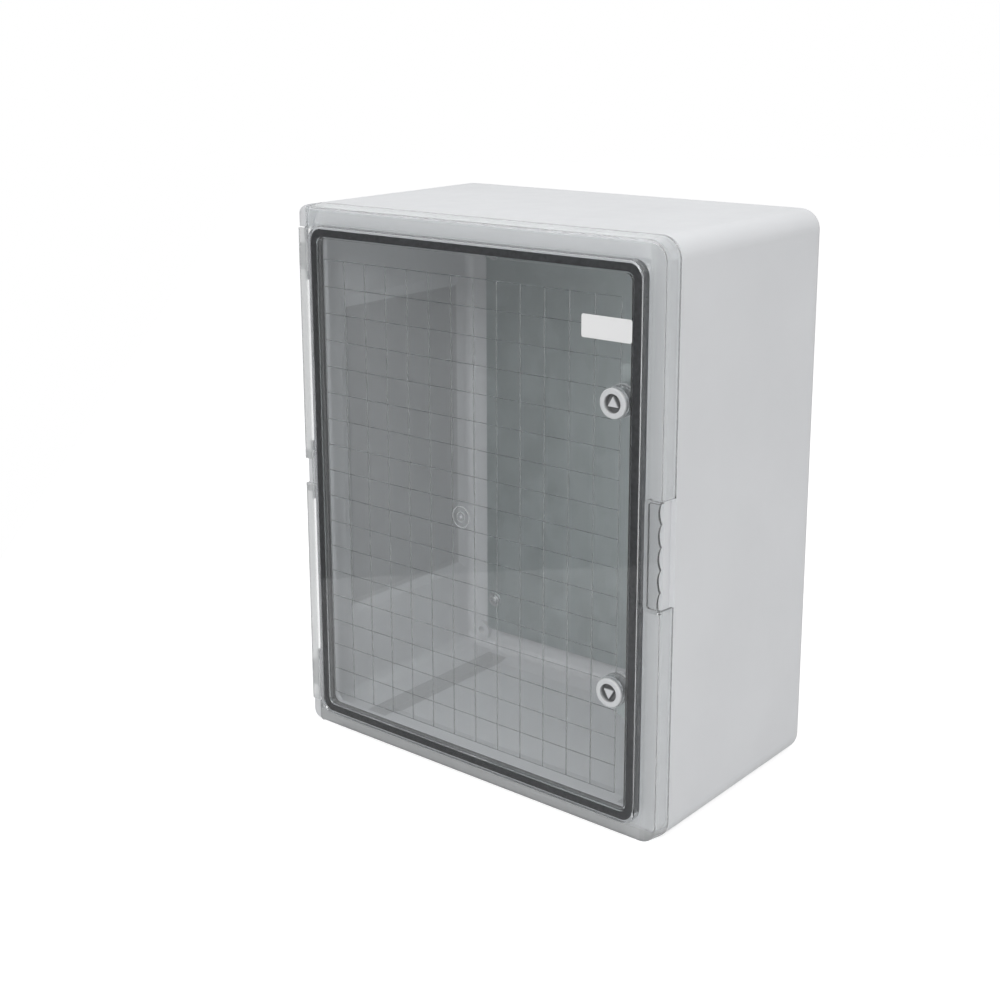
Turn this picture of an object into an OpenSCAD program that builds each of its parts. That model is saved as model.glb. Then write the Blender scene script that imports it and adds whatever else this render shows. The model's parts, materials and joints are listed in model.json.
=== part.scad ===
// Wall enclosure for a distribution board: moulded base, clear hinged door with a
// raised panel, foam seal, two quarter-turn locks and a galvanised mounting plate.
// Each piece is drawn lying on its back (x across, y up the front, z out from the
// wall) and is then stood up by stand_up(), so the front looks along -Y.

/* [Box] */
// Overall width
box_w = 400; // [360:1:480]
// Overall height
box_h = 500; // [460:1:620]
// Depth from the wall to the front of the door panel
box_d = 250; // [200:1:300]
// Corner radius seen from the front
corner_r = 18; // [16.5:0.5:22]
// How fast the corner radius falls with each millimetre of inset
corner_ease = 0.65; // [0.5:0.05:0.7]
// Smallest corner radius of an inset outline
corner_min = 5; // [3:0.5:6]
// Fillet along the back edges
back_r = 12; // [6:0.5:15]
// Side wall thickness
wall_t = 7; // [6.2:0.1:9]
// Back wall thickness
back_t = 4.5; // [3.5:0.1:7]

/* [Wall recesses] */
// Depth of the thinned panels in the side walls, floor and ceiling
recess_depth = 3.2; // [1:0.1:4.5]
// Width of the bevel round a thinned panel
recess_bevel = 13; // [5:0.5:20]
// Distance from the wall plane to a thinned panel
recess_back = 14; // [12:0.5:40]
// Distance from the front of the base to a thinned panel
recess_front = 26; // [16:0.5:50]
// Distance from the box ends to the panels in the side walls
recess_end = 92; // [60:1:130]
// Distance from the box sides to the panels in the floor and ceiling
recess_side = 42; // [36:1:90]

/* [Front flange] */
// Thickness of the flange behind the door
flange_t = 3; // [2.2:0.1:4]
// Free height between the flange and the door rim
flange_clear = 4.9; // [3.5:0.1:5.5]
// Thickness of the sealing lip
lip_t = 2.2; // [1.4:0.1:3.5]
// Gap between the sealing lip and the foam seal at rest
lip_gap = 0.3; // [0.2:0.05:0.6]

/* [Door] */
// Width of the rim above, below and to the right of the raised panel
rim_w = 17.5; // [16:0.5:20]
// Width of the rim on the hinge side of the raised panel
rim_left = 24; // [22:0.5:27]
// Height of the raised panel above the rim
panel_raise = 8.5; // [6.5:0.1:11]
// Thickness of the raised panel
panel_t = 3; // [2:0.1:4]
// Thickness of the rim, the skirt and the step wall
shell_t = 2.6; // [1.8:0.1:3.2]
// Depth of the skirt behind the front of the rim
skirt_d = 17; // [13:0.1:18]
// How far the front of the rim stands in from the rear edge of the skirt
skirt_lean = 2; // [0.5:0.1:2.4]
// Rounding along the outer edge of the rim
rim_r = 2.2; // [1.2:0.1:3.5]
// Corner radius of the raised panel
panel_corner = 13; // [10:0.5:16]
// Rounding along the edge of the raised panel
panel_r = 1.6; // [0.5:0.1:2.4]
// Clearance between the skirt and the base
skirt_clear = 0.9; // [0.6:0.1:1.8]
// Thickness of the neck of the base inside the skirt
neck_t = 3; // [2.4:0.1:4]
// Open joint between the skirt and the base
seam_gap = 0.5; // [0.3:0.1:1.2]

/* [Seal] */
// Width of the foam seal
seal_w = 6.5; // [5:0.1:8]
// Thickness of the foam seal
seal_t = 8.5; // [7:0.1:10]
// Clearance of the seal in its channel
seal_fit = 0.1; // [0.05:0.05:0.2]
// Thickness of the rib inside the seal
rib_t = 1.6; // [1:0.1:2.5]
// Height of the rib inside the seal
rib_h = 4; // [2:0.1:6]

/* [Hinge] */
// Hinge pin diameter
pin_d = 4; // [3:0.1:5]
// Hinge pin length
pin_len = 56; // [52:0.5:64]
// Distance of the hinge line from the left side
hinge_inset = 6.5; // [6:0.1:7]
// Distance of the hinge line behind the front of the rim
hinge_drop = 8.7; // [8.4:0.1:9.4]
// Set-back of the rim from the left side, between the posts
rim_back_off = 4.4; // [3.5:0.1:5]
// Width of the rebate for the hinge
hinge_zone = 18.6; // [18:0.1:20]
// Clearance round the swinging door edge
swing_clear = 0.9; // [0.6:0.1:1.5]
// Length of the hinge posts in the corners of the base
post_len = 21; // [20:0.5:24]
// Clearance between the posts and the door
post_clear = 1; // [0.6:0.1:1.5]
// Depth of the pin holes in the posts
post_bore = 7; // [5:0.5:8]
// Radius of the door knuckles
knuckle_r = 5; // [4:0.1:5.3]
// Length of the end knuckles of the door and of the middle knuckle
knuckle_len = 24; // [16:0.5:28]
// Distance from the box ends to the end knuckles
knuckle_end = 36; // [30:0.5:38]
// Length of the two door knuckles beside the middle knuckle
short_knuckle = 7; // [5:0.5:10]
// Gap along the pin between two knuckles
knuckle_gap = 0.5; // [0.3:0.1:1]
// Radial running clearance on a hinge pin
pin_fit = 0.06; // [0.03:0.01:0.1]

/* [Locks] */
// Distance between the two locks
lock_pitch = 240; // [200:1:300]
// Distance of the locks from the right side
lock_inset = 42; // [41:0.5:50]
// Diameter of the lock ring
ring_d = 24.5; // [23:0.1:27]
// Thickness of the lock ring
ring_t = 2.2; // [1.5:0.1:4]
// Thickness of the flat seal below the lock ring
ring_seal_t = 0.8; // [0.4:0.1:1.5]
// Barrel diameter
barrel_d = 19; // [18:0.1:19.5]
// Width across the two flats of the barrel
barrel_flat = 17.5; // [16.6:0.1:18.5]
// Clearance of the barrel in the door
barrel_fit = 0.2; // [0.1:0.05:0.4]
// Diameter of the clear boss behind the panel
boss_d = 26; // [24:0.5:29]
// Height of the clear boss behind the panel
boss_h = 9; // [6:0.1:9.5]
// Lock nut width across flats
nut_af = 22.5; // [21:0.5:25]
// Thickness of the hexagon of the lock nut
nut_t = 3.4; // [2.5:0.1:4.5]
// Diameter of the collar of the lock nut
collar_d = 27; // [25:0.5:28.5]
// Thickness of the collar of the lock nut
collar_t = 1.4; // [1:0.1:2]
// Diameter of the key recess
key_d = 15.6; // [14.5:0.1:16]
// Depth of the key recess
key_deep = 7.5; // [6:0.1:8.5]
// Side of the triangular driver
tri_side = 9.4; // [8:0.1:10]
// Set-back of the driver from the front of the ring
tri_back = 0.8; // [0.2:0.1:2]
// Rotor shaft diameter
rotor_d = 11; // [10.3:0.1:12]
// Thickness of the rotor disc
disc_t = 2; // [1.5:0.1:3]
// Running clearance of the rotor
rotor_fit = 0.06; // [0.03:0.01:0.1]
// Cam thickness
cam_t = 3; // [2:0.1:4]
// Cam arm width
cam_w = 14; // [11:0.5:16]
// Diameter of the cam hub
hub_d = 18; // [16.5:0.5:20]
// Overlap of the locked cam behind the flange
cam_hold = 11; // [7:0.5:14]
// Clearance between the cam and the flange
cam_clear = 0.6; // [0.3:0.1:1]
// Side of the square that drives the cam
square_w = 7.2; // [6.6:0.1:7.2]
// Cam screw thread diameter
cam_screw_d = 5; // [4:0.1:5]
// Cam screw length in the rotor
cam_screw_len = 9; // [6:0.5:10]

/* [Grip] */
// Height of the finger grip in the skirt
grip_h = 93; // [60:1:110]
// Height of the grip above the rim
grip_raise = 3; // [2:0.1:6]
// Distance of the grip from the raised panel
grip_off = 1; // [0.6:0.1:3]
// Corner radius of the grip
grip_r = 4; // [3:0.1:6]
// Rounding along the edges of the grip
grip_soft = 1.2; // [0.5:0.1:1.6]
// Set-back of the grip edge from the right side
grip_back = 1; // [0.5:0.1:4]
// Number of scallops along the grip edge
scallops = 5; // [3:1:7]
// Depth of a scallop
scallop_deep = 2.2; // [1:0.1:2.8]

/* [Mounting plate] */
// Distance of the plate edges from the box sides
plate_side = 38; // [37:0.5:60]
// Distance of the plate edges from the box ends
plate_end = 33; // [32:0.5:60]
// Plate thickness
plate_t = 2; // [1.5:0.1:3]
// Corner radius of the plate
plate_r = 5; // [2:0.5:10]
// Height of the bosses that carry the plate
standoff = 8.5; // [6:0.5:20]
// Distance of the screws from the plate sides
screw_side = 10; // [9:0.5:20]
// Distance of the screws from the plate ends
screw_end = 34; // [15:1:60]
// Screw thread diameter
screw_d = 5; // [4:0.1:6]
// Screw length below the head
screw_len = 10; // [9:0.5:11.5]
// Washer diameter
washer_d = 15; // [12:0.5:16]
// Washer thickness
washer_t = 1.2; // [0.8:0.1:2]
// Diameter of the threaded inserts
insert_d = 8; // [7.5:0.1:9]
// Diameter of the bosses
standoff_d = 15; // [13:0.5:18]

/* [Wall fixing] */
// Distance of the wall holes from the box sides and ends
fix_inset = 25; // [22:0.5:30]
// Wall hole diameter
fix_d = 8; // [6:0.1:9]
// Diameter of the pad round a wall hole
fix_pad_d = 20; // [16:0.5:22]
// Height of the pad round a wall hole
fix_pad_h = 5; // [2:0.5:8]

/* [Hidden] */
$fn = 64;
// Extra length of a cutter past the face that it opens
over = 1;
// Radial play between a threaded part and its hole
thread_play = 0.05;
// Head diameter of a screw for each millimetre of thread
head_ratio = 1.9;
// Head height of a screw for each millimetre of thread
head_rise = 0.6;
// Share of the head height that is rounded
head_soft = 0.6;
// Slot width of a screw for each millimetre of thread
slot_ratio = 0.2;
// Smallest rounding of an inner edge
soft_min = 0.3;

// Heights above the wall plane, from the front of the door inwards
panel_back = box_d - panel_t;
rim_front = box_d - panel_raise;
rim_back = rim_front - shell_t;
skirt_end = rim_front - skirt_d;
shoulder = skirt_end - seam_gap;
seal_rear = panel_back - seal_t;
lip_top = seal_rear - lip_gap;
flange_top = rim_back - flange_clear;
flange_rear = flange_top - flange_t;
cam_front = flange_rear - cam_clear;

// Insets from the outer outline
lean = skirt_lean / (skirt_d - rim_r);
neck_inset = fine(shell_t + lean * (flange_top - skirt_end) + skirt_clear);
rim_in_r = max(rim_r - shell_t, soft_min);
step_in = rim_w + shell_t;
seal_out = step_in + seal_fit;
seal_in = seal_out + seal_w;
rib_out = seal_in + seal_fit;
lip_out = seal_out + (seal_w - lip_t) / 2;
opening_in = lip_out + lip_t;

// Hinge line, and the rebate that lets the door edge swing past the base
hinge_x = -box_w / 2 + hinge_inset;
hinge_z = rim_front - hinge_drop;
edge_reach = sqrt(pow(hinge_inset, 2) + pow(hinge_drop, 2));
rebate_z = hinge_z - edge_reach - swing_clear;
cavity_z = rebate_z - flange_t;
swing_r = hinge_zone - hinge_inset - swing_clear;
post_end = box_h / 2 - post_len;
notch_w = 2 * hinge_inset + post_clear;
notch_end = post_end - post_clear;
gap_w = hinge_inset + knuckle_r + post_clear;
gap_h = knuckle_len + 2 * knuckle_gap;
pin_hole_r = pin_d / 2 + pin_fit;

// Locks
lock_x = box_w / 2 - lock_inset;
ring_front = box_d + ring_seal_t + ring_t;
key_floor = ring_front - key_deep;
disc_rear = key_floor + rotor_fit;
disc_front = disc_rear + disc_t;
barrel_rear = cam_front + cam_clear / 2;
boss_rear = panel_back - boss_h;
cam_rear = cam_front - cam_t;
cam_len = lock_inset - opening_in + cam_hold;

// Grip
grip_in = rim_w - grip_off;
grip_top = rim_front + grip_raise;
hood_w = 2 * grip_in;

// Mounting plate
plate_rear = back_t + standoff;
plate_front = plate_rear + plate_t;
screw_x = box_w / 2 - plate_side - screw_side;
screw_y = box_h / 2 - plate_end - screw_end;
fix_x = box_w / 2 - fix_inset;
fix_y = box_h / 2 - fix_inset;

// The origin is in the middle of the footprint, on the bottom
total_d = ring_front;
back_y = total_d / 2;

// Length rounded to an even number of micrometres, so that its half is a whole number of them
function fine(v) = round(v * 500) / 500;

// Corner radius of an outline at a given inset, from the box side or from the panel edge
function inset_r(inset) = fine(max(
    inset < rim_w ? corner_r - corner_ease * inset : panel_corner - corner_ease * (inset - rim_w),
    corner_min));

// Extra inset on the hinge side, for the raised panel and all that is inside its edge
function hinge_extra(inset) = inset < rim_w ? 0 : rim_left - rim_w;

module stand_up() {
    translate([0, back_y, box_h / 2]) rotate([90, 0, 0]) children();
}

// Rectangle with true round corners
module round_rect(w, h, r) {
    square([w - 2 * r, h], center = true);
    square([w, h - 2 * r], center = true);
    for (x = [-1, 1], y = [-1, 1])
        translate([x * (w / 2 - r), y * (h / 2 - r)]) circle(r);
}

// Front outline of the box or of its panel, moved in by an inset
module outline(inset) {
    extra = hinge_extra(inset);
    translate([extra / 2, 0])
        round_rect(box_w - 2 * inset - extra, box_h - 2 * inset, inset_r(inset));
}

// Outline of the neck, which stands back further on the hinge side
module neck_outline(inset) {
    left = hinge_zone + inset;
    right = neck_inset + inset;
    translate([(left - right) / 2, 0])
        round_rect(box_w - left - right, box_h - 2 * right, inset_r(right));
}

// Slab of an outline between two heights
module slab(inset, low, high) {
    translate([0, 0, low]) linear_extrude(high - low) outline(inset);
}

// Cross-section of a block whose two upper edges are rounded and whose sides may lean in
module soft_section(w, d, f, slope = 0) {
    top = w - 2 * fine(slope * (d - f));
    polygon([[-w / 2, 0], [w / 2, 0], [top / 2, d - f], [-top / 2, d - f]]);
    translate([-top / 2 + f, 0]) square([top - 2 * f, d]);
    for (x = [-1, 1]) translate([x * (top / 2 - f), d - f]) circle(f);
}

// Block with round corners and a round edge all round its top
module soft_block(w, h, d, r, f, slope = 0) {
    rotate([90, 0, 0]) linear_extrude(h - 2 * r, center = true) soft_section(w, d, f, slope);
    rotate([90, 0, 90]) linear_extrude(w - 2 * r, center = true) soft_section(h, d, f, slope);
    for (x = [-1, 1], y = [-1, 1]) translate([x * (w / 2 - r), y * (h / 2 - r), 0])
        rotate_extrude() intersection() {
            soft_section(2 * r, d, f, slope);
            square([r, d]);
        }
}

// Block on the outline of the box or panel with its round edge towards the front
module front_block(inset, low, high, f, slope = 0) {
    extra = hinge_extra(inset);
    w = box_w - 2 * inset - extra;
    translate([extra / 2, 0, low])
        soft_block(w, box_h - 2 * inset, high - low, inset_r(inset), f, slope);
}

// Block on the box outline with its round edge towards the wall
module back_block(inset, low, high, f) {
    translate([0, 0, high]) mirror([0, 0, 1])
        soft_block(box_w - 2 * inset, box_h - 2 * inset, high - low, inset_r(inset), f);
}

// Cutter for a thinned wall panel, wide at its mouth and with four sloping sides
module bevel_pocket(a, b) {
    intersection() {
        rotate([90, 0, 0]) linear_extrude(b, center = true) pocket_section(a);
        rotate([90, 0, 90]) linear_extrude(a, center = true) pocket_section(b);
    }
}

module pocket_section(l) {
    polygon([
        [-l / 2, -over], [l / 2, -over], [l / 2, 0],
        [l / 2 - recess_bevel, recess_depth], [recess_bevel - l / 2, recess_depth], [-l / 2, 0]
    ]);
}

module wall_recesses() {
    depth = cavity_z - recess_front - recess_back;
    mid = recess_back + depth / 2;
    wall_x = box_w / 2 - wall_t;
    wall_y = box_h / 2 - wall_t;
    for (s = [-1, 1]) {
        translate([s * wall_x, 0, mid]) rotate([0, s * 90, 0])
            bevel_pocket(depth, box_h - 2 * recess_end);
        translate([0, s * wall_y, mid]) rotate([-s * 90, 0, 0])
            bevel_pocket(box_w - 2 * recess_side, depth);
    }
}

// Bar along the hinge line, round at the front and square towards z_end
module hinge_bar(r, from, length, z_end) {
    translate([hinge_x, from + length, 0]) rotate([90, 0, 0]) linear_extrude(length) {
        translate([0, hinge_z]) circle(r);
        translate([-r, min(hinge_z, z_end)]) square([2 * r, abs(z_end - hinge_z)]);
    }
}

module hinge_bore(from, length) {
    translate([hinge_x, from + length, hinge_z]) rotate([90, 0, 0])
        cylinder(h = length, r = pin_hole_r);
}

// Corner post of the base that holds one end of a hinge pin
module hinge_post() {
    intersection() {
        hinge_bar(hinge_inset, post_end, post_len, cavity_z);
        slab(0, cavity_z, box_d);
    }
}

module plate_points() {
    for (x = [-1, 1], y = [-1, 1]) translate([x * screw_x, y * screw_y, 0]) children();
}

module fix_points() {
    for (x = [-1, 1], y = [-1, 1]) translate([x * fix_x, y * fix_y, 0]) children();
}

module base_outside() {
    difference() {
        back_block(0, 0, shoulder, back_r);
        translate([-box_w / 2 - over, -post_end, rebate_z])
            cube([hinge_zone + over, 2 * post_end, box_d]);
    }
    translate([0, 0, cavity_z]) linear_extrude(flange_top - cavity_z) neck_outline(0);
    slab(lip_out, flange_rear, lip_top);
    hinge_post();
    mirror([0, 1, 0]) hinge_post();
    hinge_bar(knuckle_r, -knuckle_len / 2, knuckle_len, cavity_z);
}

module base_inside() {
    difference() {
        back_block(wall_t, back_t, cavity_z, back_r - wall_t / 2);
        plate_points() cylinder(h = plate_rear, d = standoff_d);
        fix_points() cylinder(h = back_t + fix_pad_h, d = fix_pad_d);
    }
    translate([0, 0, cavity_z - over]) linear_extrude(flange_rear - cavity_z + over)
        neck_outline(neck_t);
    slab(opening_in, flange_rear - over, lip_top + over);
}

module base_body() color("gainsboro") stand_up() difference() {
    base_outside();
    base_inside();
    wall_recesses();
    plate_points() translate([0, 0, back_t]) cylinder(h = standoff + over, d = insert_d);
    fix_points() translate([0, 0, -over]) cylinder(h = box_d / 2, d = fix_d);
    hinge_bore(post_end - over, post_bore + over);
    mirror([0, 1, 0]) hinge_bore(post_end - over, post_bore + over);
    hinge_bore(-knuckle_len / 2 - over, knuckle_len + 2 * over);
}

module lock_points() {
    for (s = [-1, 1]) translate([lock_x, s * lock_pitch / 2, 0]) rotate(s * 90) children();
}

// Round bar with two flats
module flat_bar(d, flat) {
    intersection() {
        circle(d = d);
        square([d, flat], center = true);
    }
}

// Rim and skirt, without the raised panel
module door_tray() {
    difference() {
        front_block(0, skirt_end, rim_front, rim_r, lean);
        front_block(fine(shell_t - lean * over), skirt_end - over, rim_back, rim_in_r, lean);
        slab(rim_w + shell_t / 2, skirt_end, box_d);
        translate([-box_w / 2 - over, -notch_end, skirt_end - over])
            cube([hinge_zone + over, 2 * notch_end, rim_back - skirt_end + over]);
        translate([-box_w / 2 - over, -box_h / 2, 0]) cube([rim_back_off + over, box_h, box_d]);
        translate([-box_w / 2 - over, -gap_h / 2, 0]) cube([gap_w + over, gap_h, box_d]);
        for (s = [-1, 1]) scale([1, s, 1]) translate([-box_w / 2 - over, notch_end, 0])
            cube([notch_w + over, post_len + post_clear + over, box_d]);
        linear_extrude(box_d) grip_plan(shell_t / 2);
    }
    for (s = [-1, 1]) scale([1, s, 1]) notch_wall();
}

// Wall that closes the skirt beside a hinge post, rounded where it swings past the neck
module notch_wall() {
    intersection() {
        slab(shell_t / 2, skirt_end, rim_front - shell_t / 2);
        translate([notch_w - box_w / 2, notch_end, 0]) cube([shell_t, post_len, box_d]);
        hinge_bar(swing_r, notch_end, post_len, rim_front);
    }
}

// Raised panel with its step wall, the rib of the seal channel and the lock bosses
module door_panel() {
    difference() {
        union() {
            difference() {
                front_block(rim_w, rim_back, box_d, panel_r);
                slab(step_in, rim_back - over, panel_back);
            }
            difference() {
                slab(rib_out, panel_back - rib_h, box_d - panel_t / 2);
                slab(rib_out + rib_t, 0, panel_back);
            }
            lock_points() translate([0, 0, boss_rear]) cylinder(h = boss_h + panel_t / 2, d = boss_d);
        }
        lock_points() translate([0, 0, boss_rear - over])
            linear_extrude(boss_h + panel_t + 2 * over)
                flat_bar(barrel_d + 2 * barrel_fit, barrel_flat + 2 * barrel_fit);
    }
}

// Front outline of the grip, running out past the right side of the box
module grip_plan(inset) {
    translate([box_w / 2 - grip_in + hood_w / 2, 0])
        round_rect(hood_w - 2 * inset, grip_h - 2 * inset, grip_r - inset / 2);
}

module grip_block(inset, low, high) {
    translate([box_w / 2 - grip_in + hood_w / 2, 0, low])
        soft_block(hood_w - 2 * inset, grip_h - 2 * inset, high - low, grip_r - inset / 2, grip_soft);
}

// Pull lip: a hood over the cut-out in the skirt, open to the right and scalloped
module door_grip() {
    edge = box_w / 2 - grip_back;
    pitch = grip_h / scallops;
    wave_r = (pow(pitch / 2, 2) + pow(scallop_deep, 2)) / (2 * scallop_deep);
    difference() {
        grip_block(0, rim_back, grip_top);
        grip_block(shell_t, rim_back - over, grip_top - shell_t);
        translate([edge, -box_h / 2, 0]) cube([box_w, box_h, box_d + over]);
        for (i = [0 : scallops - 1])
            translate([edge + wave_r - scallop_deep, (i + 0.5) * pitch - grip_h / 2, 0])
                cylinder(h = box_d + over, r = wave_r);
    }
}

module door_knuckles() {
    for (s = [-1, 1]) scale([1, s, 1]) {
        hinge_bar(knuckle_r, box_h / 2 - knuckle_end - knuckle_len, knuckle_len, rim_back);
        hinge_bar(knuckle_r, knuckle_len / 2 + knuckle_gap, short_knuckle, rim_back);
    }
}

module door() color("lightcyan", 0.35) stand_up() {
    door_tray();
    door_panel();
    door_grip();
    difference() {
        door_knuckles();
        hinge_bore(-box_h / 2, box_h);
    }
}

module door_seal() color("dimgray") stand_up() difference() {
    slab(seal_out, seal_rear, panel_back);
    slab(seal_in, seal_rear - over, panel_back + over);
}

module hinge_pin(from) {
    color("silver") stand_up() translate([hinge_x, from + pin_len, hinge_z]) rotate([90, 0, 0])
        cylinder(h = pin_len, d = pin_d);
}

module hinge_pin_upper() hinge_pin(post_end + post_bore - pin_len);
module hinge_pin_middle() hinge_pin(-pin_len / 2);
module hinge_pin_lower() hinge_pin(-post_end - post_bore);

module mounting_plate() color("slategray") stand_up() difference() {
    translate([0, 0, plate_rear]) linear_extrude(plate_t)
        round_rect(box_w - 2 * plate_side, box_h - 2 * plate_end, plate_r);
    plate_points() translate([0, 0, plate_rear - over])
        cylinder(h = plate_t + 2 * over, d = screw_d + 2 * thread_play);
}

// Pan-head screw with its seat at z = 0 and a crossed recess
module pan_screw(d, length) {
    head_d = head_ratio * d;
    head_h = head_rise * d;
    slot_w = slot_ratio * d;
    translate([0, 0, -length]) cylinder(h = length + head_h / 2, d = d);
    difference() {
        rotate_extrude() intersection() {
            soft_section(head_d, head_h, head_h * head_soft);
            square(head_d);
        }
        for (a = [0, 90]) rotate(a) translate([-d / 2, -slot_w / 2, head_h / 2])
            cube([d, slot_w, head_h]);
    }
}

module plate_screws() color("lightgray") stand_up() plate_points()
    translate([0, 0, plate_front + washer_t]) pan_screw(screw_d - 2 * thread_play, screw_len);

module plate_washers() color("silver") stand_up() plate_points()
    translate([0, 0, plate_front]) difference() {
        cylinder(h = washer_t, d = washer_d);
        translate([0, 0, -over]) cylinder(h = washer_t + 2 * over, d = screw_d + 2 * thread_play);
    }

module plate_inserts() color("goldenrod") stand_up() plate_points()
    translate([0, 0, back_t]) difference() {
        cylinder(h = standoff, d = insert_d - 2 * thread_play);
        translate([0, 0, -over]) cylinder(h = standoff + 2 * over, d = screw_d);
    }

// Puts a lock piece drawn round the z axis at its place: side 1 is the upper lock
module at_lock(side) {
    stand_up() translate([lock_x, side * lock_pitch / 2, 0]) rotate(side * 90) children();
}

module lock_housing(side) {
    soft = ring_t / 2;
    color("whitesmoke") at_lock(side) difference() {
        union() {
            translate([0, 0, barrel_rear]) linear_extrude(box_d + ring_seal_t - barrel_rear)
                flat_bar(barrel_d, barrel_flat);
            translate([0, 0, box_d + ring_seal_t]) rotate_extrude() intersection() {
                soft_section(ring_d, ring_t, soft);
                square(ring_d);
            }
        }
        translate([0, 0, key_floor]) cylinder(h = key_deep + over, d = key_d);
        translate([0, 0, barrel_rear - over]) cylinder(h = box_d, d = rotor_d + 2 * rotor_fit);
    }
}

module lock_seal(side) {
    color("dimgray") at_lock(side) translate([0, 0, box_d]) difference() {
        cylinder(h = ring_seal_t, d = ring_d - ring_t);
        translate([0, 0, -over]) cylinder(h = ring_seal_t + 2 * over, d = barrel_d + 2 * barrel_fit);
    }
}

module lock_nut(side) {
    height = nut_t + collar_t;
    color("gray") at_lock(side) translate([0, 0, boss_rear - height]) difference() {
        union() {
            cylinder(h = height, d = nut_af / cos(30), $fn = 6);
            translate([0, 0, nut_t]) cylinder(h = collar_t, d = collar_d);
        }
        translate([0, 0, -over]) cylinder(h = height + 2 * over, d = barrel_d + 2 * thread_play);
    }
}

module lock_rotor(side) {
    tri_h = ring_front - tri_back - disc_front;
    color("whitesmoke") at_lock(side) difference() {
        union() {
            translate([0, 0, disc_rear]) cylinder(h = disc_t, d = key_d - 2 * rotor_fit);
            translate([0, 0, disc_front]) cylinder(h = tri_h, d = tri_side / sin(60), $fn = 3);
            translate([0, 0, cam_front]) cylinder(h = disc_front - cam_front, d = rotor_d);
            translate([-square_w / 2, -square_w / 2, cam_rear + thread_play])
                cube([square_w, square_w, cam_t]);
        }
        translate([0, 0, cam_rear - over]) cylinder(h = cam_screw_len + over, d = cam_screw_d);
    }
}

module lock_cam(side) {
    hole = square_w + 2 * thread_play;
    color("silver") at_lock(side) translate([0, 0, cam_rear]) linear_extrude(cam_t) difference() {
        union() {
            circle(d = hub_d);
            translate([0, -cam_w / 2]) square([cam_len - cam_w / 2, cam_w]);
            translate([cam_len - cam_w / 2, 0]) circle(d = cam_w);
        }
        square([hole, hole], center = true);
    }
}

module cam_screw(side) {
    color("lightgray") at_lock(side) translate([0, 0, cam_rear]) mirror([0, 0, 1])
        pan_screw(cam_screw_d - 2 * thread_play, cam_screw_len - thread_play);
}

module upper_lock_housing() lock_housing(1);
module upper_lock_seal() lock_seal(1);
module upper_lock_nut() lock_nut(1);
module upper_lock_rotor() lock_rotor(1);
module upper_lock_cam() lock_cam(1);
module upper_cam_screw() cam_screw(1);
module lower_lock_housing() lock_housing(-1);
module lower_lock_seal() lock_seal(-1);
module lower_lock_nut() lock_nut(-1);
module lower_lock_rotor() lock_rotor(-1);
module lower_lock_cam() lock_cam(-1);
module lower_cam_screw() cam_screw(-1);

base_body();
door();
door_seal();
hinge_pin_upper();
hinge_pin_middle();
hinge_pin_lower();
mounting_plate();
plate_screws();
plate_washers();
plate_inserts();
upper_lock_housing();
upper_lock_seal();
upper_lock_nut();
upper_lock_rotor();
upper_lock_cam();
upper_cam_screw();
lower_lock_housing();
lower_lock_seal();
lower_lock_nut();
lower_lock_rotor();
lower_lock_cam();
lower_cam_screw();
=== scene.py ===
"""Looks of the wall enclosure: materials, the door's fine lines, a blank label, light and camera."""

import json
import math

import bmesh
import bpy
from mathutils import Matrix, Vector


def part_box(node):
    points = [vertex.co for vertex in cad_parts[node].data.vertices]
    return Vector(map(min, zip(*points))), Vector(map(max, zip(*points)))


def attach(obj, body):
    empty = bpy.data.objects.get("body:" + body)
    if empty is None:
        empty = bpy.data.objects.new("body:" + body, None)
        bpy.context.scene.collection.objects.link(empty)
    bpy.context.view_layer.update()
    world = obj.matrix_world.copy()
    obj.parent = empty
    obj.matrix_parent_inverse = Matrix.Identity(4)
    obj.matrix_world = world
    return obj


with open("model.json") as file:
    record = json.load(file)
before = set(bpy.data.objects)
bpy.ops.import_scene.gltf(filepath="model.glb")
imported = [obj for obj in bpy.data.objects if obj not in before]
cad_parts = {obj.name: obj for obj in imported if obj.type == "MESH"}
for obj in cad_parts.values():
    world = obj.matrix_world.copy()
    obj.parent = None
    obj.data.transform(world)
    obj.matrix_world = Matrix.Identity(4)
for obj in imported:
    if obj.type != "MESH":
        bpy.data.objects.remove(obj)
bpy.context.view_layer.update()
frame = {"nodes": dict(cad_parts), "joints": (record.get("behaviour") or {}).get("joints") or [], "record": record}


# Places taken from the frame, in metres

MM = 0.001
CASE_LOW, CASE_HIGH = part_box("base_body")
DOOR_LOW, DOOR_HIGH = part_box("door")
SEAL_LOW, SEAL_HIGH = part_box("door_seal")
MIDDLE_Z = (CASE_LOW[2] + CASE_HIGH[2]) / 2
PANEL_FRONT = DOOR_LOW[1]
PANEL_BACK = SEAL_LOW[1]
LOCKS = [(joint["pos_m"][0], joint["pos_m"][2])
         for joint in frame["joints"] if joint["name"].endswith("lock_turn")]


# Material helpers

def new_material(name):
    """Node material with one principled shader: the material, its tree, the shader and the output."""
    mat = bpy.data.materials.new(name)
    mat.use_nodes = True
    tree = mat.node_tree
    tree.nodes.clear()
    out = tree.nodes.new("ShaderNodeOutputMaterial")
    shader = tree.nodes.new("ShaderNodeBsdfPrincipled")
    tree.links.new(shader.outputs["BSDF"], out.inputs["Surface"])
    return mat, tree, shader, out


def object_coords(tree, stretch=(1, 1, 1)):
    coords = tree.nodes.new("ShaderNodeTexCoord")
    mapping = tree.nodes.new("ShaderNodeMapping")
    mapping.inputs["Scale"].default_value = stretch
    tree.links.new(coords.outputs["Object"], mapping.inputs["Vector"])
    return mapping.outputs["Vector"]


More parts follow.
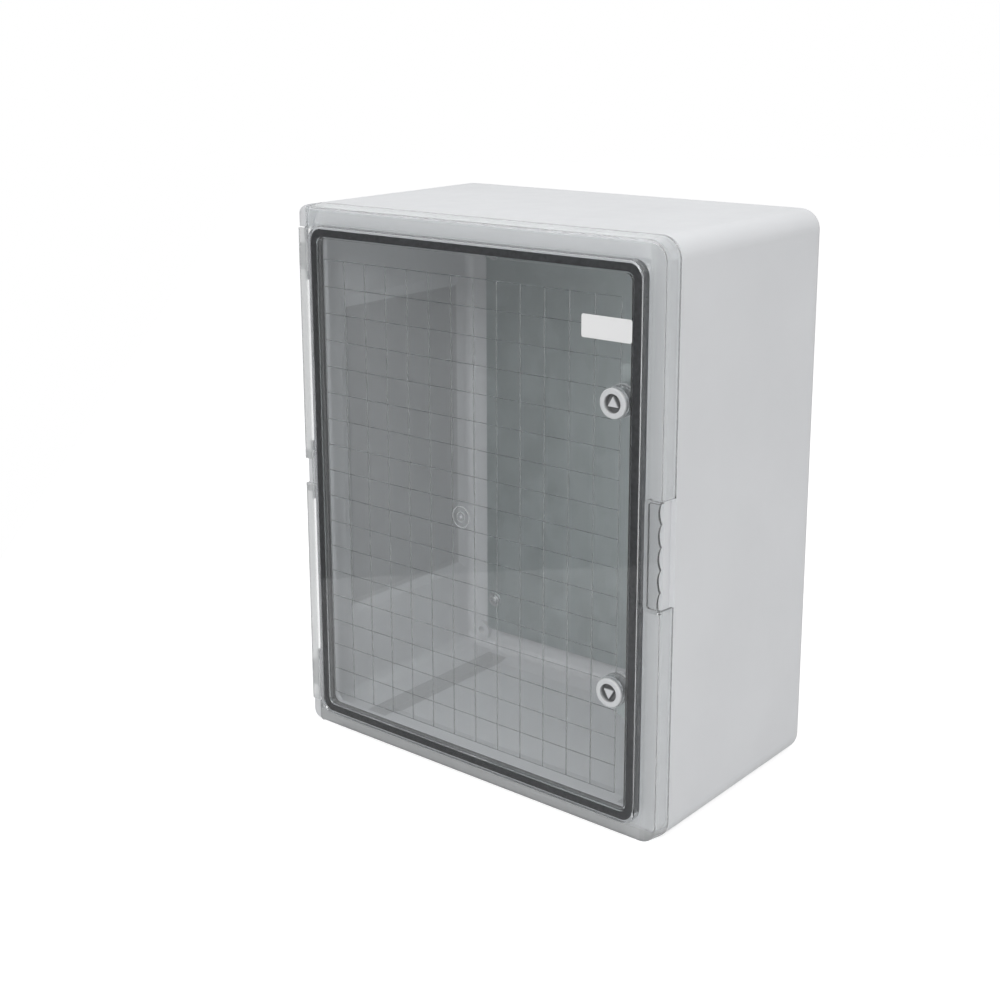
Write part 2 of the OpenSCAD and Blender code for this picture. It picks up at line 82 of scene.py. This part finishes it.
def noise(tree, scale, detail, stretch=(1, 1, 1)):
    node = tree.nodes.new("ShaderNodeTexNoise")
    node.inputs["Scale"].default_value = scale
    node.inputs["Detail"].default_value = detail
    tree.links.new(object_coords(tree, stretch), node.inputs["Vector"])
    return node.outputs["Fac"]


def cells(tree, scale, stretch=(1, 1, 1)):
    node = tree.nodes.new("ShaderNodeTexVoronoi")
    node.inputs["Scale"].default_value = scale
    tree.links.new(object_coords(tree, stretch), node.inputs["Vector"])
    return node.outputs


def ramp(tree, value, low, high, start=0.3, end=0.7):
    """Colour that goes from low to high as the value goes from start to end."""
    node = tree.nodes.new("ShaderNodeValToRGB")
    first, last = node.color_ramp.elements
    first.position, last.position = start, end
    first.color, last.color = (*low, 1), (*high, 1)
    tree.links.new(value, node.inputs["Fac"])
    return node.outputs["Color"]


def spread(tree, value, low, high, start=0.3, end=0.7):
    """Number that goes from low to high as the value goes from start to end."""
    node = tree.nodes.new("ShaderNodeMapRange")
    for key, number in (("From Min", start), ("From Max", end), ("To Min", low), ("To Max", high)):
        node.inputs[key].default_value = number
    tree.links.new(value, node.inputs["Value"])
    return node.outputs["Result"]


def fade_in(tree, value, start, end):
    """0 up to start and 1 from end on."""
    return spread(tree, value, 0, 1, start, end)


def fade_out(tree, value, start, end):
    """1 up to start and 0 from end on."""
    return spread(tree, value, 1, 0, start, end)


def bump(tree, height, strength, distance, normal=None):
    node = tree.nodes.new("ShaderNodeBump")
    node.inputs["Strength"].default_value = strength
    node.inputs["Distance"].default_value = distance
    tree.links.new(height, node.inputs["Height"])
    if normal is not None:
        tree.links.new(normal, node.inputs["Normal"])
    return node.outputs["Normal"]


def maths(tree, operation, *values):
    node = tree.nodes.new("ShaderNodeMath")
    node.operation = operation
    for socket, value in zip(node.inputs, values):
        if isinstance(value, (int, float)):
            socket.default_value = value
        else:
            tree.links.new(value, socket)
    return node.outputs[0]


def places(tree):
    """The three coordinates of a point on the piece, in metres."""
    axes = tree.nodes.new("ShaderNodeSeparateXYZ")
    tree.links.new(object_coords(tree), axes.inputs["Vector"])
    return axes.outputs["X"], axes.outputs["Y"], axes.outputs["Z"]


def beyond(tree, value, low, high):
    """How far a coordinate lies outside the span from low to high, negative inside it."""
    away = maths(tree, "ABSOLUTE", maths(tree, "SUBTRACT", value, (low + high) / 2))
    return maths(tree, "SUBTRACT", away, (high - low) / 2)


def darkened(tree, colour, share, tone):
    """Colour multiplied by a tone, as far as the share says."""
    colour_a, colour_b, colour_out = 6, 7, 2
    node = tree.nodes.new("ShaderNodeMix")
    node.data_type, node.blend_type = "RGBA", "MULTIPLY"
    tree.links.new(share, node.inputs["Factor"])
    tree.links.new(colour, node.inputs[colour_a])
    node.inputs[colour_b].default_value = (tone, tone, tone, 1)
    return node.outputs[colour_out]


def mix_shaders(tree, share, first, second):
    node = tree.nodes.new("ShaderNodeMixShader")
    tree.links.new(share, node.inputs["Fac"])
    tree.links.new(first, node.inputs[1])
    tree.links.new(second, node.inputs[2])
    return node.outputs["Shader"]


def either_ray(tree, first, second):
    """1 for the two named kinds of ray, 0 for all others."""
    path = tree.nodes.new("ShaderNodeLightPath")
    return maths(tree, "MAXIMUM", path.outputs[first], path.outputs[second])


# Zones of a piece that get painted shade, a darker tone or haze

def painted_recess_shade(tree):
    """Painted shade, up to 1 on the thinned panels of the side walls and along the sides of those above and below,
    where the recesses are darker.
    """
    x, y, z = places(tree)
    across = maths(tree, "ABSOLUTE", x)
    up = maths(tree, "ABSOLUTE", maths(tree, "SUBTRACT", z, MIDDLE_Z))
    half_w, half_h = CASE_HIGH[0], CASE_HIGH[2] - MIDDLE_Z
    depth = (-79 * MM, 110 * MM)
    thinned_face = (half_w - 4.8 * MM, half_w - 3.0 * MM)
    wall_height = (84 * MM, 397 * MM)
    slope = (half_w - 64.5 * MM, half_w - 41.5 * MM)
    slope_level = (half_h - 7.5 * MM, half_h - 3.1 * MM)
    edge, wall_share = 0.2 * MM, 0.9

    def inside(*spans):
        outside = beyond(tree, y, *depth)
        for value, span in spans:
            outside = maths(tree, "MAXIMUM", outside, beyond(tree, value, *span))
        return fade_out(tree, outside, -edge, edge)

    walls = inside((across, thinned_face), (z, wall_height))
    slopes = inside((across, slope), (up, slope_level))
    return maths(tree, "MAXIMUM", maths(tree, "MULTIPLY", walls, wall_share), slopes)


def lock_recess_shade_and_barrel(tree):
    """Up to 1 in the key recess, where it is painted shade, and on the threaded barrel, which is darker with
    thread stripes; 0 on the ring's face and on the nut.
    """
    _, y, _ = places(tree)
    mouth, floor = PANEL_FRONT - 2.0 * MM, PANEL_FRONT - 0.1 * MM
    barrel_end, nut_start = PANEL_BACK + 8.5 * MM, PANEL_BACK + 8.8 * MM
    thread_radians_per_metre = 4200
    wave = maths(tree, "SINE", maths(tree, "MULTIPLY", y, thread_radians_per_metre))
    thread = spread(tree, wave, low=0.7, high=1.0, start=-1, end=1)
    recess = fade_in(tree, y, mouth, floor)
    barrel = fade_out(tree, y, barrel_end, nut_start)
    return maths(tree, "MULTIPLY", maths(tree, "MULTIPLY", recess, barrel), thread)


def door_zones(tree):
    """Parts of the door, each 1 there and 0 elsewhere."""
    x, _, z = places(tree)
    panel_wall, grip_half, soft, crisp = 2.7 * MM, 46.5 * MM, 1.5 * MM, 0.3 * MM
    panel_right = SEAL_HIGH[0] + panel_wall
    face_left, face_right = DOOR_HIGH[0] - 12 * MM, DOOR_HIGH[0] - 2 * MM
    edge_start, edge_end = CASE_LOW[0] + 12 * MM, CASE_LOW[0] + 14 * MM
    foot_start, foot_end = DOOR_LOW[2] + 12 * MM, DOOR_LOW[2] + 17 * MM

    beside = beyond(tree, x, SEAL_LOW[0] - panel_wall, panel_right)
    above = beyond(tree, z, SEAL_LOW[2] - panel_wall, SEAL_HIGH[2] + panel_wall)
    around = fade_in(tree, maths(tree, "MAXIMUM", beside, above), 0, soft)
    pull_side = fade_in(tree, x, panel_right, panel_right + soft)
    off_face = beyond(tree, x, face_left, face_right)
    off_grip = beyond(tree, z, MIDDLE_Z - grip_half, MIDDLE_Z + grip_half)
    grip = maths(tree, "MULTIPLY", pull_side, fade_out(tree, off_grip, -crisp, 0))
    return {
        "rim": maths(tree, "SUBTRACT", around, grip),
        "pull_side": pull_side,
        "pull_face": fade_out(tree, off_face, -crisp, 0),
        "grip": grip,
        "hinge_edge": fade_out(tree, x, edge_start, edge_end),
        "foot": fade_out(tree, z, foot_start, foot_end),
    }


# Materials

def moulded_plastic(name, low, high, rough, grain, depth, shade=None, tone=1.0):
    """Opaque moulded plastic: faint cloudy tone, uneven gloss and a fine spark-eroded grain."""
    mat, tree, shader, _ = new_material(name)
    link = tree.links.new
    colour = ramp(tree, noise(tree, scale=9, detail=3), low, high)
    # Painted shade: where the shade mask is 1, the colour is multiplied by the tone.
    if shade:
        colour = darkened(tree, colour, shade(tree), tone)
    gloss = spread(tree, noise(tree, scale=55, detail=3), low=rough - 0.05, high=rough + 0.05)
    wave = bump(tree, noise(tree, scale=14, detail=1), strength=0.05, distance=0.0006)
    texture = bump(tree, noise(tree, scale=grain, detail=2), strength=depth, distance=0.0002, normal=wave)
    link(colour, shader.inputs["Base Color"])
    link(gloss, shader.inputs["Roughness"])
    link(texture, shader.inputs["Normal"])
    shader.inputs["IOR"].default_value = 1.5
    return mat


def clear_plastic():
    """Clear moulded sheet: bends what is seen through it, and lets lamps reach what is behind it."""
    mat, tree, shader, out = new_material("clear_plastic")
    link = tree.links.new
    zones = door_zones(tree)
    # Painted shade: the clear colour is darkened on the pull side, on its face and grip, on the hinge edge and
    # most on the foot.
    painted_shade_tones = {"pull_side": 0.90, "pull_face": 0.92, "grip": 0.92, "hinge_edge": 0.77, "foot": 0.64}
    rim_haze, edge_haze, rim_rough = 0.12, 0.45, 0.05

    colour = ramp(tree, noise(tree, scale=7, detail=2), (0.905, 0.915, 0.918), (0.92, 0.928, 0.93))
    for zone, tone in painted_shade_tones.items():
        colour = darkened(tree, colour, zones[zone], tone)
    edge = maths(tree, "MAXIMUM", zones["hinge_edge"], zones["foot"])
    rim_part = maths(tree, "MULTIPLY", zones["rim"], rim_haze)
    haze = maths(tree, "MAXIMUM", rim_part, maths(tree, "MULTIPLY", edge, edge_haze))
    polish = spread(tree, noise(tree, scale=30, detail=3), low=0.01, high=0.04)
    ripple = bump(tree, noise(tree, scale=10, detail=1), strength=0.012, distance=0.0006)
    link(colour, shader.inputs["Base Color"])
    link(maths(tree, "MULTIPLY_ADD", zones["rim"], rim_rough, polish), shader.inputs["Roughness"])
    link(ripple, shader.inputs["Normal"])
    link(maths(tree, "SUBTRACT", 1, haze), shader.inputs["Transmission Weight"])
    shader.inputs["IOR"].default_value = 1.49

    through = tree.nodes.new("ShaderNodeBsdfTransparent")
    through.inputs["Color"].default_value = (0.96, 0.967, 0.971, 1)
    passing = either_ray(tree, "Is Shadow Ray", "Is Diffuse Ray")
    surface = mix_shaders(tree, passing, shader.outputs["BSDF"], through.outputs["BSDF"])
    link(surface, out.inputs["Surface"])
    return mat


def moulded_line(name, tone, haze):
    """Fine moulded line in the clear panel, partly see-through."""
    mat, tree, shader, _ = new_material(name)
    link = tree.links.new
    grain = noise(tree, scale=120, detail=2)
    darker = [0.9 * channel for channel in tone]
    opacity = spread(tree, noise(tree, scale=40, detail=2), low=0.9 * haze, high=1.1 * haze)
    link(ramp(tree, grain, darker, tone), shader.inputs["Base Color"])
    link(spread(tree, grain, low=0.35, high=0.6), shader.inputs["Roughness"])
    link(opacity, shader.inputs["Alpha"])
    return mat


def foam():
    """Matt black foam with small open cells."""
    mat, tree, shader, _ = new_material("seal_foam")
    link = tree.links.new
    colour = ramp(tree, noise(tree, scale=300, detail=3), (0.03, 0.031, 0.033), (0.055, 0.056, 0.06))
    dullness = spread(tree, noise(tree, scale=200, detail=2), low=0.75, high=0.95)
    pores = cells(tree, scale=900)["Distance"]
    link(colour, shader.inputs["Base Color"])
    link(dullness, shader.inputs["Roughness"])
    link(bump(tree, pores, strength=0.5, distance=0.0004), shader.inputs["Normal"])
    return mat


def galvanised():
    """Zinc-coated sheet: soft spangle in tone and gloss."""
    mat, tree, shader, _ = new_material("galvanised")
    link = tree.links.new
    grey = tree.nodes.new("ShaderNodeRGBToBW")
    link(cells(tree, scale=75, stretch=(1, 1, 0.7))["Color"], grey.inputs["Color"])
    spangle = grey.outputs["Val"]
    colour = ramp(tree, spangle, (0.38, 0.42, 0.42), (0.44, 0.48, 0.485), start=0.1, end=0.9)
    gloss = spread(tree, spangle, low=0.42, high=0.6, start=0.1, end=0.9)
    texture = bump(tree, noise(tree, scale=240, detail=3), strength=0.08, distance=0.0003)
    link(colour, shader.inputs["Base Color"])
    link(gloss, shader.inputs["Roughness"])
    link(texture, shader.inputs["Normal"])
    shader.inputs["Metallic"].default_value = 0.7
    return mat


def metal(name, low, high, rough, stretch):
    """Turned or drawn metal with fine marks along one direction."""
    mat, tree, shader, _ = new_material(name)
    link = tree.links.new
    marks = noise(tree, scale=500, detail=3, stretch=stretch)
    link(ramp(tree, marks, low, high), shader.inputs["Base Color"])
    link(spread(tree, marks, low=rough - 0.07, high=rough + 0.1), shader.inputs["Roughness"])
    link(bump(tree, marks, strength=0.1, distance=0.0001), shader.inputs["Normal"])
    shader.inputs["Metallic"].default_value = 1.0
    return mat


MATERIALS = {
    # Base plastic: painted shade of tone 0.72 on the side-wall panels and on the floor and ceiling slopes.
    "base_plastic": moulded_plastic(
        "base_plastic", (0.66, 0.667, 0.68), (0.69, 0.697, 0.71), rough=0.42, grain=1500, depth=0.10,
        shade=painted_recess_shade, tone=0.72),
    "clear_plastic": clear_plastic(),
    "seal_foam": foam(),
    "steel": metal("steel", (0.52, 0.53, 0.54), (0.66, 0.67, 0.68), rough=0.30, stretch=(1, 1, 0.15)),
    "galvanised": galvanised(),
    "brass": metal("brass", (0.55, 0.38, 0.14), (0.68, 0.50, 0.22), rough=0.32, stretch=(1, 0.2, 1)),
    # Lock plastic: painted shade of tone 0.3 in the key recess, and the same darker tone on the barrel.
    "lock_plastic": moulded_plastic(
        "lock_plastic", (0.58, 0.59, 0.60), (0.62, 0.63, 0.64), rough=0.38, grain=2200, depth=0.08,
        shade=lock_recess_shade_and_barrel, tone=0.3),
}
# One moulded line in two copies: painted shade on the rows, painted light on the columns.
SHADED_LINE = moulded_line("dark_line", (0.10, 0.105, 0.11), haze=0.24)
LIT_LINE = moulded_line("pale_line", (0.28, 0.29, 0.295), haze=0.4)
MARK = moulded_line("gate_mark", (0.75, 0.77, 0.78), haze=0.35)
LABEL = moulded_plastic(
    "label_film", (0.80, 0.80, 0.80), (0.84, 0.84, 0.84), rough=0.36, grain=3000, depth=0.05)

for part in frame["record"]["subparts"]:
    node = frame["nodes"][part["node"]]
    node.data.materials.clear()
    node.data.materials.append(MATERIALS[part["material_slot"]])


# Pieces that ride on the door

def finish_piece(name, bm, mat):
    bmesh.ops.recalc_face_normals(bm, faces=bm.faces)
    mesh = bpy.data.meshes.new(name)
    bm.to_mesh(mesh)
    bm.free()
    piece = bpy.data.objects.new(name, mesh)
    bpy.context.scene.collection.objects.link(piece)
    mesh.materials.append(mat)
    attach(piece, "door_leaf")
    return piece


def bridge(bm, first, second):
    """Band of faces between two closed loops with as many points."""
    for i in range(len(first)):
        j = (i + 1) % len(first)
        bm.faces.new((first[i], first[j], second[j], second[i]))


def add_line(bm, start, end, width):
    """Low moulded rib with sloping sides on the back of the panel, between two points (x, z)."""
    height = 0.3 * MM
    along = Vector((end[0] - start[0], 0, end[1] - start[1])).normalized()
    side = Vector((-along.z, 0, along.x)) * width
    deep = Vector((0, height, 0))
    rings = []
    for x, z in (start, end):
        foot = Vector((x, PANEL_BACK, z))
        corners = (foot - side / 2, foot + side / 2, foot + side / 4 + deep, foot - side / 4 + deep)
        rings.append([bm.verts.new(corner) for corner in corners])
    bridge(bm, *rings)
    bm.faces.new(rings[0])
    bm.faces.new(rings[1][::-1])


def clear_spans(fixed, low, high, upright):
    """Stretches of a grid line, from low to high, that stay clear of the lock bosses."""
    keep_off, shortest = 14.0 * MM, 2 * MM
    spans = [(low, high)]
    for x, z in LOCKS:
        across, along = (x, z) if upright else (z, x)
        reach = keep_off ** 2 - (fixed - across) ** 2
        if reach <= 0:
            continue
        half = math.sqrt(reach)
        cut = []
        for a, b in spans:
            cut += [(a, min(b, along - half)), (max(a, along + half), b)]
        spans = [(a, b) for a, b in cut if b - a > shortest]
    return spans


def build_grid():
    """Grid of fine lines: paler columns with painted light and darker rows with painted shade."""
    middle_x, middle_z = 2.6 * MM, 247.6 * MM
    pitch_x, pitch_z = 24.6 * MM, 24.2 * MM
    columns, rows = 14, 18
    column_w, row_w = 1.3 * MM, 0.9 * MM
    half_w, half_h = pitch_x * (columns - 1) / 2, pitch_z * (rows - 1) / 2
    left, right = middle_x - half_w, middle_x + half_w
    bottom, top = middle_z - half_h, middle_z + half_h
    bm = bmesh.new()
    for column in range(columns):
        x = left + column * pitch_x
        for a, b in clear_spans(x, bottom, top, upright=True):
            add_line(bm, (x, a), (x, b), column_w)
    finish_piece("door_columns", bm, LIT_LINE)
    bm = bmesh.new()
    for row in range(rows):
        z = bottom + row * pitch_z
        for a, b in clear_spans(z, left, right, upright=False):
            add_line(bm, (a, z), (b, z), row_w)
    finish_piece("door_rows", bm, SHADED_LINE)


def build_gate_mark():
    """Two fine rings and a dot left by the moulding gate in the middle of the panel."""
    middle_x, middle_z = 1.4 * MM, 246.4 * MM
    # Radius, half width and height of each ring, and radius and height of the dot's levels, in millimetres
    rings = ((9.2, 0.45, 0.25), (4.4, 0.35, 0.2))
    dot = ((1.5, 0), (1.2, 0.25), (0.7, 0.35))
    steps = 64
    bm = bmesh.new()

    def loop(radius, rise):
        points = []
        for i in range(steps):
            angle = 2 * math.pi * i / steps
            x = middle_x + radius * MM * math.cos(angle)
            z = middle_z + radius * MM * math.sin(angle)
            points.append(bm.verts.new((x, PANEL_FRONT - rise * MM, z)))
        return points

    for middle, half, rise in rings:
        profile = ((-half, 0), (-half / 2, rise), (half / 2, rise), (half, 0))
        loops = [loop(middle + off, level) for off, level in profile]
        for first, second in zip(loops, loops[1:] + loops[:1]):
            bridge(bm, first, second)
    foot, shoulder, top = [loop(radius, rise) for radius, rise in dot]
    bridge(bm, foot, shoulder)
    bridge(bm, shoulder, top)
    bm.faces.new(top)
    bm.faces.new(foot[::-1])
    piece = finish_piece("gate_mark", bm, MARK)
    piece.data.shade_smooth()


def build_label():
    """Blank film label with round corners and a soft edge, near the upper right of the panel."""
    centre_x, centre_z = 149.7 * MM, 427.7 * MM
    width, height, radius = 47.5 * MM, 18.6 * MM, 1.8 * MM
    # Inset and height of each level of the edge, in millimetres
    levels = ((0.0, 0.0), (0.0, 0.14), (0.06, 0.22), (0.2, 0.25))
    corners = ((1, 1), (-1, 1), (-1, -1), (1, -1))
    steps = 8
    bm = bmesh.new()
    rings = []
    for inset, rise in levels:
        ring = []
        r = radius - inset * MM
        for corner, (right, up) in enumerate(corners):
            corner_x = centre_x + right * (width / 2 - radius)
            corner_z = centre_z + up * (height / 2 - radius)
            for i in range(steps + 1):
                angle = math.pi / 2 * (corner + i / steps)
                x = corner_x + r * math.cos(angle)
                z = corner_z + r * math.sin(angle)
                ring.append(bm.verts.new((x, PANEL_FRONT - rise * MM, z)))
        rings.append(ring)
    for first, second in zip(rings, rings[1:]):
        bridge(bm, first, second)
    bm.faces.new(rings[0])
    bm.faces.new(rings[-1][::-1])
    finish_piece("blank_label", bm, LABEL)


build_grid()
build_gate_mark()
build_label()


# Stage: pale floor, white background, soft studio light

def build_floor():
    """Pale table top. The door mirrors its left edge faintly. Its glow is only seen, and lights nothing."""
    edge, far, drop = 0.627, 6.0, 0.2 * MM
    outward = Vector((-0.718, -0.696, 0))
    along = Vector((0.696, -0.718, 0))
    corners = [outward * away + along * side
               for away, side in ((edge, far), (edge, -far), (-far, -far), (-far, far))]
    mesh = bpy.data.meshes.new("floor")
    mesh.from_pydata([corner - Vector((0, 0, drop)) for corner in corners], [], [(0, 1, 2, 3)])
    floor = bpy.data.objects.new("floor", mesh)
    bpy.context.scene.collection.objects.link(floor)
    mat, tree, shader, out = new_material("floor_paper")
    tree.nodes.remove(shader)

    def paper(tone):
        node = tree.nodes.new("ShaderNodeBsdfDiffuse")
        node.inputs["Color"].default_value = (tone, tone, tone, 1)
        return node.outputs["BSDF"]

    glow = tree.nodes.new("ShaderNodeEmission")
    glow.inputs["Strength"].default_value = 0.76
    shown = tree.nodes.new("ShaderNodeAddShader")
    tree.links.new(paper(tone=0.5), shown.inputs[0])
    tree.links.new(glow.outputs["Emission"], shown.inputs[1])
    seen = either_ray(tree, "Is Camera Ray", "Is Transmission Ray")
    surface = mix_shaders(tree, seen, paper(tone=0.82), shown.outputs["Shader"])
    tree.links.new(surface, out.inputs["Surface"])
    mesh.materials.append(mat)


def build_world():
    """White behind the object, a darker room in its reflections, and an even soft light on it."""
    world = bpy.data.worlds.new("studio")
    bpy.context.scene.world = world
    world.use_nodes = True
    tree = world.node_tree
    tree.nodes.clear()
    cool, white = (0.985, 0.992, 1.0, 1), (1, 1, 1, 1)

    def light(strength, colour=cool):
        node = tree.nodes.new("ShaderNodeBackground")
        node.inputs["Color"].default_value = colour
        node.inputs["Strength"].default_value = strength
        return node.outputs["Background"]

    place = tree.nodes.new("ShaderNodeTexCoord")
    axes = tree.nodes.new("ShaderNodeSeparateXYZ")
    tree.links.new(place.outputs["Generated"], axes.inputs["Vector"])
    overhead = fade_in(tree, axes.outputs["Z"], start=-0.08, end=0.10)
    mirrored = mix_shaders(tree, overhead, light(strength=0.30), light(strength=0.80))
    path = tree.nodes.new("ShaderNodeLightPath")
    lit = mix_shaders(tree, path.outputs["Is Glossy Ray"], light(strength=0.50), mirrored)
    seen = either_ray(tree, "Is Camera Ray", "Is Transmission Ray")
    shown = light(strength=1.0, colour=white)
    out = tree.nodes.new("ShaderNodeOutputWorld")
    tree.links.new(mix_shaders(tree, seen, lit, shown), out.inputs["Surface"])


def area_light(name, place, aim, size, watts):
    """Square lamp with sides of the given size."""
    data = bpy.data.lights.new(name, "AREA")
    data.shape = "SQUARE"
    data.size = size
    data.energy = watts
    lamp = bpy.data.objects.new(name, data)
    lamp.location = place
    lamp.rotation_euler = (Vector(aim) - Vector(place)).to_track_quat("-Z", "Y").to_euler()
    bpy.context.scene.collection.objects.link(lamp)


def build_camera():
    """Camera at the photograph's viewing angle. Focal length and centre are in pixels of the picture."""
    picture, sensor = 1000, 36
    place = Vector((0.83932, -1.10595, 0.66001))
    yaw, pitch, roll = 0.70891, 0.23385, -0.00904
    focal, centre_x, centre_y = 1585.0, 455.8, 396.1
    ahead, down = math.cos(pitch), math.sin(pitch)
    forward = Vector((-math.sin(yaw) * ahead, math.cos(yaw) * ahead, -down))
    level = Vector((math.cos(yaw), math.sin(yaw), 0))
    upright = level.cross(forward)
    right = math.cos(roll) * level + math.sin(roll) * upright
    up = math.cos(roll) * upright - math.sin(roll) * level
    data = bpy.data.cameras.new("camera")
    data.sensor_fit = "HORIZONTAL"
    data.sensor_width = sensor
    data.lens = focal / picture * sensor
    data.shift_x = (picture / 2 - centre_x) / picture
    data.shift_y = (centre_y - picture / 2) / picture
    data.clip_start = 0.01
    camera = bpy.data.objects.new("camera", data)
    bpy.context.scene.collection.objects.link(camera)
    turn = Matrix((right, up, -forward)).transposed().to_4x4()
    camera.matrix_world = Matrix.Translation(place) @ turn
    bpy.context.scene.camera = camera


build_floor()
build_world()
area_light("overhead", place=(0.2, -0.3, 2.2), aim=(0, 0, 0.3), size=2.4, watts=23)
area_light("right_fill", place=(2.2, 0.7, 1.0), aim=(0.1, 0, 0.25), size=0.5, watts=4)
area_light("front_fill", place=(1.0, -2.3, 1.7), aim=(0, 0, 0.2), size=1.0, watts=21.5)
build_camera()
bpy.context.scene.view_settings.view_transform = "Standard"
